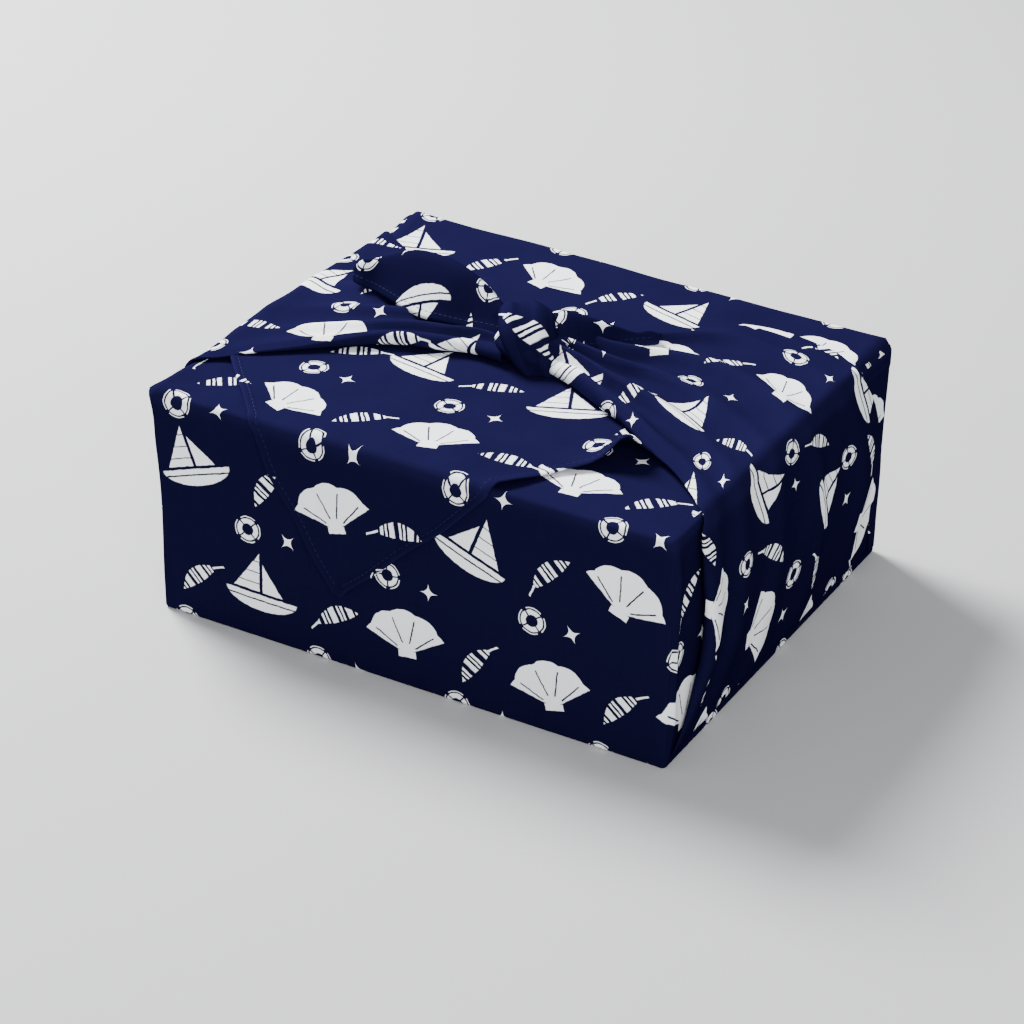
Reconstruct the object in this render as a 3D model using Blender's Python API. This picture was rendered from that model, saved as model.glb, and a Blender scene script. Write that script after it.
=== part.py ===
"""A box wrapped in one square furoshiki cloth, tied on top with a square knot.

The cloth is one solid: a close-fitting tub with the front corner laid over its
top, the back corner laid over that and down the front, the two side corners
gathered into arms that climb the ends and cross the top, and the knot with its
two free ends. The box that it is tied round is a plain second piece.
Metres, +Z up, front towards -Y, origin at the middle of the base.
"""

import math
from collections import namedtuple

import bmesh
import bpy
from mathutils import Vector

WRAP_WIDTH = 0.280
WRAP_DEPTH = 0.2367
TUB_TOP = 0.1200
EDGE_RADIUS = 0.005
FOOT_RADIUS = 0.003
WALL = 0.0026
UNDER_LAYER = 0.0026
FLAP_THICKNESS = 0.0016
FLAP_LIFT = 0.0022
SKIRT_LIFT = 0.0003
SEAT_INSET = 0.0035
SHARP_DEGREES = 50
FLAP_EMBED = 0.0006
ARM_EMBED = 0.0011
TAIL_THICKNESS = 0.0020
BOX_CLEARANCE = 0.0006

# An arm's crown is a low arch: its edges keep ARCH_SILL of the height, and the arch
# runs over the middle part of a half wave, with edges rounded off by a high power.
ARCH_SILL = 0.35
ARCH_START = 0.12
ARCH_SPAN = 0.76
ARCH_POWER = 6

# The front corner's own edges reach from the ends at GAP_START_B to GAP_TIP_A from the
# middle of the back edge.
GAP_START_B = 0.000
GAP_TIP_A = 0.022

HALF_WIDTH = WRAP_WIDTH / 2
HALF_DEPTH = WRAP_DEPTH / 2
BEND = EDGE_RADIUS * math.pi / 2

FOOT_TURNS = (0, 45, 90)
EDGE_TURNS = (0, 30, 60, 80)
CORNER_STEPS = 4
FLAP_EDGE_STEPS = 4
FLAP_EDGE_STEP = 0.012
FLAP_MIDDLE_STEPS = 9
ARM_ROWS = 26
ARM_COLUMNS = 23
STRAP_ROWS = 11
STRAP_SIDES = 10
TAIL_ROWS = 12
TAIL_COLUMNS = 7

# The back corner of the cloth, unfolded: b runs back from the middle of the top, and
# at each b the flap reaches from left_a to right_a. The last row is its tip.
FlapRow = namedtuple("FlapRow", "b left_a right_a")
FLAP_ROWS = (
    FlapRow(0.1270, -0.149, 0.149),
    FlapRow(0.1215, -0.149, 0.149),
    FlapRow(0.1180, -0.149, 0.149),
    FlapRow(0.1140, -0.149, 0.149),
    FlapRow(0.0700, -0.149, 0.149),
    FlapRow(0.0200, -0.149, 0.149),
    FlapRow(-0.0100, -0.149, 0.149),
    FlapRow(-0.0140, -0.149, 0.145),
    FlapRow(-0.0180, -0.149, 0.141),
    FlapRow(-0.0210, -0.149, 0.138),
    FlapRow(-0.0240, -0.149, 0.134),
    FlapRow(-0.0400, -0.149, 0.113),
    FlapRow(-0.0500, -0.147, 0.103),
    FlapRow(-0.0580, -0.141, 0.095),
    FlapRow(-0.0640, -0.135, 0.090),
    FlapRow(-0.0700, -0.130, 0.084),
    FlapRow(-0.0780, -0.123, 0.076),
    FlapRow(-0.0890, -0.113, 0.066),
    FlapRow(-0.1020, -0.101, 0.058),
    FlapRow(-0.1130, -0.091, 0.051),
    FlapRow(-0.1165, -0.087, 0.048),
    FlapRow(-0.1210, -0.083, 0.045),
    FlapRow(-0.1440, -0.072, 0.024),
    FlapRow(-0.1630, -0.060, 0.002),
    FlapRow(-0.1800, -0.049, -0.015),
    FlapRow(-0.1930, -0.041, -0.030),
    FlapRow(-0.2000, -0.038, -0.036),
)

# Where the right hem of the flap is pulled up into a small tent beside the right arm.
TENT_AT = (0.088, -0.066)
TENT_ALONG = (0.67, 0.74)
TENT_HEIGHT = 0.013
TENT_LENGTH = 0.010
TENT_REACH = 0.013

# One row for each station of an arm, unfolded, from the knot to the foot of the end
# wall: a runs outwards from the middle and b backwards, to the arm's front and back
# edges. Crown is its height over what it lies on, and fold the height of its folds.
ArmStation = namedtuple("ArmStation", "front_a front_b back_a back_b crown fold")
RIGHT_ARM = (
    ArmStation(0.010, -0.012, 0.004, 0.020, 0.0120, 0.0030),
    ArmStation(0.028, -0.019, 0.016, 0.030, 0.0105, 0.0045),
    ArmStation(0.053, -0.030, 0.034, 0.046, 0.0075, 0.0050),
    ArmStation(0.072, -0.040, 0.050, 0.068, 0.0055, 0.0045),
    ArmStation(0.092, -0.054, 0.070, 0.088, 0.0040, 0.0038),
    ArmStation(0.112, -0.067, 0.094, 0.093, 0.0030, 0.0032),
    ArmStation(0.128, -0.080, 0.120, 0.088, 0.0026, 0.0020),
    ArmStation(0.139, -0.092, 0.139, 0.078, 0.0024, 0.0015),
    ArmStation(0.147, -0.098, 0.147, 0.084, 0.0022, 0.0014),
    ArmStation(0.165, -0.099, 0.165, 0.100, 0.0020, 0.0016),
    ArmStation(0.190, -0.099, 0.190, 0.112, 0.0016, 0.0017),
    ArmStation(0.215, -0.101, 0.215, 0.1125, 0.0012, 0.0015),
    ArmStation(0.240, -0.108, 0.240, 0.1125, 0.0009, 0.0010),
    ArmStation(0.252, -0.112, 0.252, 0.1125, 0.0006, 0.0004),
)
LEFT_ARM = (
    ArmStation(0.010, -0.013, 0.006, 0.020, 0.0120, 0.0030),
    ArmStation(0.028, -0.012, 0.024, 0.028, 0.0105, 0.0042),
    ArmStation(0.044, -0.017, 0.044, 0.038, 0.0085, 0.0046),
    ArmStation(0.067, -0.024, 0.067, 0.050, 0.0065, 0.0044),
    ArmStation(0.086, -0.038, 0.090, 0.062, 0.0052, 0.0040),
    ArmStation(0.105, -0.053, 0.108, 0.072, 0.0042, 0.0036),
    ArmStation(0.128, -0.071, 0.125, 0.082, 0.0034, 0.0020),
    ArmStation(0.139, -0.086, 0.139, 0.088, 0.0028, 0.0015),
    ArmStation(0.147, -0.094, 0.147, 0.096, 0.0022, 0.0014),
    ArmStation(0.165, -0.102, 0.165, 0.106, 0.0018, 0.0016),
    ArmStation(0.190, -0.108, 0.190, 0.1125, 0.0014, 0.0016),
    ArmStation(0.215, -0.111, 0.215, 0.1125, 0.0011, 0.0012),
    ArmStation(0.240, -0.1125, 0.240, 0.1125, 0.0009, 0.0008),
    ArmStation(0.252, -0.1125, 0.252, 0.1125, 0.0006, 0.0004),
)

# The folds of an arm run from the knot outwards. At goes from 0, its front edge, to 1,
# its back edge, and depth is a share of the station's fold height.
Fold = namedtuple("Fold", "at width depth")
RIGHT_FOLDS = (
    Fold(0.03, 0.040, 1.1),
    Fold(0.24, 0.055, 0.9),
    Fold(0.47, 0.050, 0.8),
    Fold(0.70, 0.060, 1.0),
    Fold(0.93, 0.050, 0.6),
)
LEFT_FOLDS = (
    Fold(0.03, 0.040, 0.9),
    Fold(0.21, 0.050, 0.8),
    Fold(0.40, 0.045, 0.8),
    Fold(0.62, 0.075, 1.3),
    Fold(0.91, 0.050, 0.7),
)

# The band that crosses over the knot, from its front foot to its back foot.
StrapRow = namedtuple("StrapRow", "x y z half_width")
STRAP = (
    StrapRow(0.012, -0.014, 0.1215, 0.0090),
    StrapRow(0.009, -0.013, 0.1310, 0.0115),
    StrapRow(0.002, -0.006, 0.1395, 0.0135),
    StrapRow(-0.006, 0.004, 0.1440, 0.0135),
    StrapRow(-0.013, 0.015, 0.1405, 0.0120),
    StrapRow(-0.016, 0.022, 0.1310, 0.0105),
    StrapRow(-0.016, 0.023, 0.1215, 0.0095),
)
STRAP_ACROSS = (0.87, 0.49, 0.0)
STRAP_HALF_THICKNESS = 0.0050
KNOT_CENTRE = (-0.001, 0.004, 0.1310)
KNOT_RADII = (0.0210, 0.0180, 0.0100)

# A free end is a leaf folded along its crest: each row gives its front hem, its crest
# and its back hem, from the knot to the tip.
TailRow = namedtuple("TailRow", "front crest back")
LEFT_TAIL = (
    TailRow((-0.010, -0.004, 0.134), (-0.008, 0.006, 0.142), (-0.004, 0.016, 0.136)),
    TailRow((-0.026, -0.003, 0.134), (-0.022, 0.007, 0.145), (-0.020, 0.019, 0.136)),
    TailRow((-0.038, -0.002, 0.132), (-0.033, 0.011, 0.151), (-0.033, 0.027, 0.133)),
    TailRow((-0.053, -0.001, 0.131), (-0.046, 0.014, 0.156), (-0.047, 0.033, 0.132)),
    TailRow((-0.065, 0.001, 0.130), (-0.060, 0.018, 0.157), (-0.062, 0.038, 0.131)),
    TailRow((-0.079, 0.006, 0.130), (-0.078, 0.022, 0.155), (-0.080, 0.041, 0.130)),
    TailRow((-0.091, 0.011, 0.130), (-0.091, 0.023, 0.150), (-0.094, 0.038, 0.130)),
    TailRow((-0.101, 0.015, 0.131), (-0.102, 0.022, 0.144), (-0.104, 0.031, 0.130)),
    TailRow((-0.110, 0.019, 0.133), (-0.110, 0.022, 0.138), (-0.111, 0.025, 0.133)),
)
RIGHT_TAIL = (
    TailRow((0.004, -0.003, 0.133), (0.000, 0.010, 0.143), (-0.002, 0.021, 0.136)),
    TailRow((0.015, 0.000, 0.133), (0.009, 0.018, 0.147), (0.008, 0.032, 0.135)),
    TailRow((0.027, 0.009, 0.131), (0.019, 0.024, 0.149), (0.018, 0.038, 0.132)),
    TailRow((0.035, 0.018, 0.130), (0.029, 0.029, 0.147), (0.029, 0.043, 0.130)),
    TailRow((0.043, 0.029, 0.129), (0.040, 0.034, 0.141), (0.038, 0.046, 0.128)),
    TailRow((0.050, 0.037, 0.129), (0.048, 0.040, 0.136), (0.046, 0.047, 0.128)),
    TailRow((0.055, 0.043, 0.129), (0.054, 0.045, 0.132), (0.053, 0.048, 0.129)),
)


def clear_scene():
    for obj in list(bpy.data.objects):
        bpy.data.objects.remove(obj, do_unlink=True)


def make_material(name, colour, roughness):
    material = bpy.data.materials.new(name)
    material.use_nodes = True
    shader = material.node_tree.nodes["Principled BSDF"]
    shader.inputs["Base Color"].default_value = (*colour, 1.0)
    shader.inputs["Roughness"].default_value = roughness
    shader.inputs["Metallic"].default_value = 0.0
    return material


def make_object(name, bm, material=None):
    """A mesh object from a closed bmesh, with its faces turned outwards."""
    bmesh.ops.recalc_face_normals(bm, faces=bm.faces)
    mesh = bpy.data.meshes.new(name)
    bm.to_mesh(mesh)
    bm.free()
    mesh.shade_smooth()
    mesh.set_sharp_from_angle(angle=math.radians(SHARP_DEGREES))
    if material:
        mesh.materials.append(material)
    obj = bpy.data.objects.new(name, mesh)
    bpy.context.scene.collection.objects.link(obj)
    return obj


def make_helper(name, bm):
    """An object that only shapes another one, so it stays out of the result."""
    obj = make_object(name, bm)
    obj.hide_render = True
    obj.display_type = "WIRE"
    return obj


def cut_away(target, helper):
    modifier = target.modifiers.new(helper.name, "BOOLEAN")
    modifier.operation = "DIFFERENCE"
    modifier.solver = "EXACT"
    modifier.object = helper


def join_on(target, helpers):
    """Joins all the helpers to the target in one step, so that it stays one solid."""
    layers = bpy.data.collections.new("layers")
    bpy.context.scene.collection.children.link(layers)
    for helper in helpers:
        layers.objects.link(helper)
    modifier = target.modifiers.new("layers", "BOOLEAN")
    modifier.operation = "UNION"
    modifier.solver = "EXACT"
    modifier.operand_type = "COLLECTION"
    modifier.collection = layers


def smooth_between(rows, t):
    """The Catmull-Rom curve through rows of equal length, with t from 0 to 1."""
    spans = len(rows) - 1
    place = min(max(t, 0.0), 1.0) * spans
    i = min(int(place), spans - 1)
    f = place - i
    before, start = rows[max(i - 1, 0)], rows[i]
    end, after = rows[i + 1], rows[min(i + 2, spans)]
    return [
        0.5 * (2 * p1 + (p2 - p0) * f + (2 * p0 - 5 * p1 + 4 * p2 - p3) * f * f
               + (3 * p1 - p0 - 3 * p2 + p3) * f ** 3)
        for p0, p1, p2, p3 in zip(before, start, end, after)
    ]


def smooth_step(low, high, value):
    f = min(max((value - low) / (high - low), 0.0), 1.0)
    return f * f * (3 - 2 * f)


def past_edge(a, b):
    """How far an unfolded point lies past the flat top, across, back and in all."""
    over_a = max(abs(a) - (HALF_WIDTH - EDGE_RADIUS), 0.0)
    over_b = max(abs(b) - (HALF_DEPTH - EDGE_RADIUS), 0.0)
    return over_a, over_b, math.hypot(over_a, over_b)


def wrap_point(a, b, lift):
    """The point of the tub's outside at unfolded a and b, raised off it by lift."""
    over_a, over_b, over = past_edge(a, b)
    if over == 0:
        return Vector((a, b, TUB_TOP + lift))
    turn = min(over / EDGE_RADIUS, math.pi / 2)
    out = Vector((math.copysign(over_a / over, a), math.copysign(over_b / over, b), 0))
    foot = Vector((
        math.copysign(min(abs(a), HALF_WIDTH - EDGE_RADIUS), a),
        math.copysign(min(abs(b), HALF_DEPTH - EDGE_RADIUS), b),
        TUB_TOP - EDGE_RADIUS - max(over - BEND, 0.0),
    ))
    normal = out * math.sin(turn) + Vector((0, 0, math.cos(turn)))
    return foot + normal * (EDGE_RADIUS + lift)


def flap_lift(a, b):
    """Height of the flap's outside over the tub: it sinks into the end and back walls."""
    over_a, over_b, over = past_edge(a, b)
    if b < 0:
        over = over_a
    return FLAP_LIFT + (SKIRT_LIFT - FLAP_LIFT) * smooth_step(0, BEND, over)


def flap_underside(a, b):
    """Height of the flap's inside: a thin gap over the front corner, then in the wall."""
    if abs(a) < HALF_WIDTH - SEAT_INSET and b < HALF_DEPTH - SEAT_INSET:
        return FLAP_LIFT - FLAP_THICKNESS
    return -FLAP_EMBED


def rounded_ring(half_width, half_depth, radius, z):
    """A level ring of points round a rounded rectangle."""
    ring = []
    for quarter in range(4):
        sign_x = 1 if quarter in (0, 3) else -1
        sign_y = 1 if quarter in (0, 1) else -1
        for step in range(CORNER_STEPS + 1):
            angle = (quarter + step / CORNER_STEPS) * math.pi / 2
            ring.append(Vector((
                sign_x * (half_width - radius) + radius * math.cos(angle),
                sign_y * (half_depth - radius) + radius * math.sin(angle),
                z,
            )))
    return ring


def add_loft(bm, rings):
    """Joins level rings into a closed shape with flat ends."""
    loops = [[bm.verts.new(point) for point in ring] for ring in rings]
    for lower, upper in zip(loops, loops[1:]):
        for i in range(len(lower)):
            j = (i + 1) % len(lower)
            bm.faces.new((lower[i], lower[j], upper[j], upper[i]))
    bm.faces.new(list(reversed(loops[0])))
    bm.faces.new(loops[-1])


def add_slab(bm, top, bottom):
    """A closed sheet between two grids of points of the same size."""
    upper = [[bm.verts.new(point) for point in row] for row in top]
    lower = [[bm.verts.new(point) for point in row] for row in bottom]
    rows, columns = len(upper), len(upper[0])
    for i in range(rows - 1):
        for j in range(columns - 1):
            bm.faces.new((upper[i][j], upper[i][j + 1], upper[i + 1][j + 1], upper[i + 1][j]))
            bm.faces.new((lower[i][j], lower[i + 1][j], lower[i + 1][j + 1], lower[i][j + 1]))
    rim = [(i, 0) for i in range(rows)] + [(rows - 1, j) for j in range(1, columns)]
    rim += [(i, columns - 1) for i in range(rows - 2, -1, -1)]
    rim += [(0, j) for j in range(columns - 2, 0, -1)]
    for (i, j), (k, m) in zip(rim, rim[1:] + rim[:1]):
        bm.faces.new((upper[i][j], upper[k][m], lower[k][m], lower[i][j]))


def make_tub(material):
    """The cloth under and round the box, with the front corner laid over the top."""
    bm = bmesh.new()
    rings = []
    for turn in FOOT_TURNS:
        angle = math.radians(turn)
        inset = FOOT_RADIUS * (1 - math.sin(angle))
        rings.append(rounded_ring(
            HALF_WIDTH - inset, HALF_DEPTH - inset, EDGE_RADIUS - inset,
            FOOT_RADIUS * (1 - math.cos(angle)),
        ))
    for turn in EDGE_TURNS:
        angle = math.radians(turn)
        inset = EDGE_RADIUS * (1 - math.cos(angle))
        rings.append(rounded_ring(
            HALF_WIDTH - inset, HALF_DEPTH - inset, EDGE_RADIUS - inset,
            TUB_TOP - EDGE_RADIUS * (1 - math.sin(angle)),
        ))
    add_loft(bm, rings)
    tub = make_object("furoshiki", bm, material)

    bm = bmesh.new()
    add_loft(bm, [
        rounded_ring(HALF_WIDTH - WALL, HALF_DEPTH - WALL, EDGE_RADIUS - WALL, z)
        for z in (WALL, TUB_TOP - UNDER_LAYER)
    ])
    cut_away(tub, make_helper("hollow", bm))
    return tub


def make_corner_gaps():
    """The two places at the back of the top that the front corner doesn't reach."""
    side = HALF_WIDTH - 2 * WALL
    back = HALF_DEPTH - 2 * WALL
    helpers = []
    for name, sign in (("left_gap", -1), ("right_gap", 1)):
        bm = bmesh.new()
        outline = ((sign * side, GAP_START_B), (sign * side, back), (sign * GAP_TIP_A, back))
        rings = [
            [Vector((x, y, z)) for x, y in outline]
            for z in (TUB_TOP - 2 * UNDER_LAYER, TUB_TOP + FLAP_EMBED / 2)
        ]
        add_loft(bm, rings)
        helpers.append(make_helper(name, bm))
    return helpers


def tent_height(a, b):
    """How far the pulled-up hem of the flap stands off the layer below."""
    off_a, off_b = a - TENT_AT[0], b - TENT_AT[1]
    along = off_a * TENT_ALONG[0] + off_b * TENT_ALONG[1]
    inwards = max(off_b * TENT_ALONG[0] - off_a * TENT_ALONG[1], 0.0)
    fall = math.exp(-(along / TENT_LENGTH) ** 2 - (inwards / TENT_REACH) ** 2)
    return TENT_HEIGHT * fall


def flap_shares():
    """Places across the flap from 0 to 1, close together where it bends over an edge."""
    near = [i * FLAP_EDGE_STEP for i in range(FLAP_EDGE_STEPS + 1)]
    middle = [
        near[-1] + (1 - 2 * near[-1]) * i / FLAP_MIDDLE_STEPS
        for i in range(1, FLAP_MIDDLE_STEPS)
    ]
    return near + middle + [1 - share for share in reversed(near)]


def make_flap():
    """The back corner of the cloth, over the top and down the front to its tip."""
    top, bottom = [], []
    shares = flap_shares()
    for row in FLAP_ROWS:
        upper, lower = [], []
        for share in shares:
            a = row.left_a + (row.right_a - row.left_a) * share
            tent = tent_height(a, row.b)
            upper.append(wrap_point(a, row.b, flap_lift(a, row.b) + tent))
            lower.append(wrap_point(a, row.b, flap_underside(a, row.b) + tent))
        top.append(upper)
        bottom.append(lower)
    bm = bmesh.new()
    add_slab(bm, top, bottom)
    return make_helper("flap", bm)


def arm_height(station, folds, v):
    """Height of an arm over the flap or the wall, at v from its front to its back edge."""
    rounding = math.sqrt(max(1 - (2 * v - 1) ** ARCH_POWER, 0.0))
    arch = rounding * math.sin(math.pi * (ARCH_START + ARCH_SPAN * v))
    height = station.crown * (ARCH_SILL + (1 - ARCH_SILL) * arch)
    for fold in folds:
        height += station.fold * fold.depth * math.exp(-((v - fold.at) / fold.width) ** 2)
    return height


def make_arm(name, stations, folds, side):
    """A side corner of the cloth, up its end wall and gathered over the top."""
    top, bottom = [], []
    for i in range(ARM_ROWS):
        station = ArmStation(*smooth_between(stations, i / (ARM_ROWS - 1)))
        upper, lower = [], []
        for j in range(ARM_COLUMNS):
            v = j / (ARM_COLUMNS - 1)
            a = side * (station.front_a + (station.back_a - station.front_a) * v)
            b = station.front_b + (station.back_b - station.front_b) * v
            height = flap_lift(a, b) + arm_height(station, folds, v)
            upper.append(wrap_point(a, b, height))
            lower.append(wrap_point(a, b, -ARM_EMBED))
        top.append(upper)
        bottom.append(lower)
    bm = bmesh.new()
    add_slab(bm, top, bottom)
    return make_helper(name, bm)


def make_strap():
    """The band of cloth that crosses over the knot."""
    across = Vector(STRAP_ACROSS).normalized()
    spots = [StrapRow(*smooth_between(STRAP, i / (STRAP_ROWS - 1))) for i in range(STRAP_ROWS)]
    centres = [Vector(spot[:3]) for spot in spots]
    rings = []
    for i, spot in enumerate(spots):
        along = centres[min(i + 1, STRAP_ROWS - 1)] - centres[max(i - 1, 0)]
        out = across.cross(along).normalized()
        rings.append([
            centres[i]
            + across * spot.half_width * math.cos(2 * math.pi * k / STRAP_SIDES)
            + out * STRAP_HALF_THICKNESS * math.sin(2 * math.pi * k / STRAP_SIDES)
            for k in range(STRAP_SIDES)
        ])
    bm = bmesh.new()
    add_loft(bm, rings)
    return make_helper("strap", bm)


def make_knot_body():
    """The turns of cloth hidden under the band."""
    bm = bmesh.new()
    bmesh.ops.create_icosphere(bm, subdivisions=3, radius=1.0)
    for vert in bm.verts:
        vert.co = Vector(KNOT_CENTRE) + Vector(r * c for r, c in zip(KNOT_RADII, vert.co))
    return make_helper("knot_body", bm)


def leaf_grid(tail):
    """Points of a folded leaf, a row across it for each step from the knot to its tip."""
    flat = [row.front + row.crest + row.back for row in tail]
    grid = []
    for i in range(TAIL_ROWS):
        row = smooth_between(flat, i / (TAIL_ROWS - 1))
        marks = [row[0:3], row[3:6], row[6:9]]
        grid.append([
            Vector(smooth_between(marks, j / (TAIL_COLUMNS - 1))) for j in range(TAIL_COLUMNS)
        ])
    return grid


def grid_normal(grid, i, j):
    """The direction square to a grid of points at one of them."""
    rows, columns = len(grid), len(grid[0])
    down = grid[min(i + 1, rows - 1)][j] - grid[max(i - 1, 0)][j]
    across = grid[i][min(j + 1, columns - 1)] - grid[i][max(j - 1, 0)]
    return across.cross(down).normalized()


def make_tail(name, tail, side):
    """One free end of the cloth: a thin leaf, hollow below its crest."""
    top = leaf_grid(tail)
    bottom = [
        [point + grid_normal(top, i, j) * side * TAIL_THICKNESS for j, point in enumerate(row)]
        for i, row in enumerate(top)
    ]
    bm = bmesh.new()
    add_slab(bm, top, bottom)
    return make_helper(name, bm)


def make_gift_box(material):
    """The plain closed box that the cloth is tied round."""
    inset = WALL + BOX_CLEARANCE
    bm = bmesh.new()
    add_loft(bm, [
        rounded_ring(HALF_WIDTH - inset, HALF_DEPTH - inset, EDGE_RADIUS - inset, z)
        for z in (inset, TUB_TOP - UNDER_LAYER - BOX_CLEARANCE)
    ])
    return make_object("gift_box", bm, material)


def make_wrap(material):
    wrap = make_tub(material)
    for gap in make_corner_gaps():
        cut_away(wrap, gap)
    join_on(wrap, (
        make_flap(),
        make_arm("right_arm", RIGHT_ARM, RIGHT_FOLDS, 1),
        make_arm("left_arm", LEFT_ARM, LEFT_FOLDS, -1),
        make_knot_body(),
        make_strap(),
        make_tail("left_tail", LEFT_TAIL, -1),
        make_tail("right_tail", RIGHT_TAIL, 1),
    ))


def main():
    clear_scene()
    navy = make_material("navy_cotton", (0.010, 0.014, 0.065), 0.85)
    board = make_material("plain_board", (0.62, 0.56, 0.47), 0.80)
    make_wrap(navy)
    make_gift_box(board)


main()
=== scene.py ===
# %% [markdown]
# # A box wrapped in a furoshiki
# A furoshiki is one square of cloth that wraps, carries and decorates. Here a low box
# is wrapped in the plainest way, otsukai-tsutsumi: the front corner of the cloth is laid
# over the box, the back corner is laid over that, and the two side corners are gathered
# over the top and tied in a square knot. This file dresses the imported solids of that
# wrap. It reads the frame first, because every size below is worked out from it.

# %% Load the frame
import math
from collections import namedtuple

import bpy
import numpy as np
from mathutils import Matrix, Vector


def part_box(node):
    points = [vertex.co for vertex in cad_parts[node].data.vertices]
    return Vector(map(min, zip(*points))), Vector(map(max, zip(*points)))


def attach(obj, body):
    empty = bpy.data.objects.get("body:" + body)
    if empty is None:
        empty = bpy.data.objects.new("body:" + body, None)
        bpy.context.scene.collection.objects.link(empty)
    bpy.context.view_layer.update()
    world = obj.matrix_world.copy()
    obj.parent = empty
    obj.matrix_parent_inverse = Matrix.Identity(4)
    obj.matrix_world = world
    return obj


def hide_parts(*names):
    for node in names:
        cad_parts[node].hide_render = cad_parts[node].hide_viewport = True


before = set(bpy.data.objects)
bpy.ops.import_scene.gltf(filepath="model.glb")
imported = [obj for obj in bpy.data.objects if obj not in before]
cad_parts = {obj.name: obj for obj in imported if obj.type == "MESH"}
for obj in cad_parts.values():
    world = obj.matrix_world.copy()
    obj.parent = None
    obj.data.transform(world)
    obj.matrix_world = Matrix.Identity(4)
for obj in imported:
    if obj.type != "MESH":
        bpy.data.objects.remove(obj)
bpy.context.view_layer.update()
box_low, box_high = (np.array(corner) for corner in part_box("gift_box"))
print("gift box from", box_low.round(4), "to", box_high.round(4))

# %% [markdown]
# ## Driving sizes
# The cloth hugs the box inside it, so the wrap's outside is the box plus one gap. The
# top of the under layer and the lift of the flap repeat the solids, so that each sheet
# lands where its solid is. Thin cotton bends sharply over a board edge, so the bend here
# is tighter than on the solids. Everything is in metres.

# %% Driving sizes
CLOTH_GAP = 0.0032
EDGE = 0.0026
FOOT = 0.002
FLAP_LIFT = 0.0022
CLOTH_THICKNESS = 0.0006
HEM_WIDTH = 0.005
HALF_WIDTH = float(box_high[0]) + CLOTH_GAP
HALF_DEPTH = float(box_high[1]) + CLOTH_GAP
TOP = float(box_high[2]) + CLOTH_GAP
FLAT_A = HALF_WIDTH - EDGE
FLAT_B = HALF_DEPTH - EDGE
BEND = EDGE * math.pi / 2
print("wrap", round(2 * HALF_WIDTH, 4), "x", round(2 * HALF_DEPTH, 4), "x", round(TOP, 4))

# %% [markdown]
# ## Camera
# The photo was taken with a long lens from the front right, looking down at about 29
# degrees. A camera can be aimed at a point, but a slight roll would be lost, so its three
# axes are written out from azimuth, elevation and roll.

# %% Camera
CAMERA_AZIMUTH = math.radians(29.20)
CAMERA_ELEVATION = math.radians(29.18)
CAMERA_ROLL = math.radians(1.167)
CAMERA_DISTANCE = 1.492
CAMERA_TARGET = Vector((0.00326, -0.02195, 0.050))


def aim_camera():
    """A camera on a sphere round its target, rolled a little about its own axis."""
    back = Vector((
        math.sin(CAMERA_AZIMUTH) * math.cos(CAMERA_ELEVATION),
        -math.cos(CAMERA_AZIMUTH) * math.cos(CAMERA_ELEVATION),
        math.sin(CAMERA_ELEVATION),
    ))
    level = back.to_track_quat("Z", "Y").to_matrix().to_4x4()
    data = bpy.data.cameras.new("photo_camera")
    data.lens = 106.3
    data.sensor_width = 36
    camera = bpy.data.objects.new("photo_camera", data)
    camera.matrix_world = (
        Matrix.Translation(CAMERA_TARGET + back * CAMERA_DISTANCE)
        @ level @ Matrix.Rotation(CAMERA_ROLL, 4, "Z")
    )
    bpy.context.scene.collection.objects.link(camera)
    bpy.context.scene.camera = camera
    return camera


camera = aim_camera()
print("camera at", [round(c, 4) for c in camera.matrix_world.translation])
print("right", [round(c, 4) for c in camera.matrix_world.col[0][:3]])

# %% [markdown]
# ## The form that the cloth lies on
# Think of the box's top as a flat map: a runs right and b runs back from its middle.
# Past the edge of the top the map bends over a small radius and hangs straight down the
# sides, and at the foot it turns in again. Every sheet is drawn on this map and then
# wrapped with one function, so layers can be stacked by their lift alone.

# %% Wrap a flat map round the box
FOOT_START = TOP - EDGE - FOOT


def wrap(a, b, lift):
    """Points of the wrap's outside for arrays of map places, raised off it by lift."""
    a, b, lift = np.broadcast_arrays(a, b, lift)
    over_a = np.maximum(np.abs(a) - FLAT_A, 0.0)
    over_b = np.maximum(np.abs(b) - FLAT_B, 0.0)
    over = np.hypot(over_a, over_b)
    safe = np.maximum(over, 1e-9)
    turn = np.minimum(over / EDGE, math.pi / 2)
    drop = np.maximum(over - BEND, 0.0)
    foot = np.clip((drop - FOOT_START) / FOOT, 0.0, math.pi / 2)
    lift = lift * (1 - np.sin(foot))
    reach = (EDGE + lift) * np.sin(turn) - (FOOT + lift) * (1 - np.cos(foot))
    height = TOP - EDGE - np.minimum(drop, FOOT_START) + (EDGE + lift) * np.cos(turn)
    height = height - (FOOT + lift) * np.sin(foot)
    x = np.clip(a, -FLAT_A, FLAT_A) + np.sign(a) * over_a / safe * reach
    y = np.clip(b, -FLAT_B, FLAT_B) + np.sign(b) * over_b / safe * reach
    return np.stack([x, y, height], axis=-1)


def smooth_step(low, high, value):
    f = np.clip((value - low) / (high - low), 0.0, 1.0)
    return f * f * (3 - 2 * f)


def smooth_rows(rows, count):
    """Catmull-Rom through equal rows of numbers, read at count even places."""
    table = np.array(rows, float)
    table = np.vstack([2 * table[0] - table[1], table, 2 * table[-1] - table[-2]])
    place = np.linspace(0, len(rows) - 1, count)
    i = np.minimum(place.astype(int), len(rows) - 2)
    f = (place - i)[:, None]
    p0, p1, p2, p3 = (table[i + k] for k in range(4))
    return 0.5 * (
        2 * p1 + (p2 - p0) * f + (2 * p0 - 5 * p1 + 4 * p2 - p3) * f ** 2
        + (3 * p1 - p0 - 3 * p2 + p3) * f ** 3
    )


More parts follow.
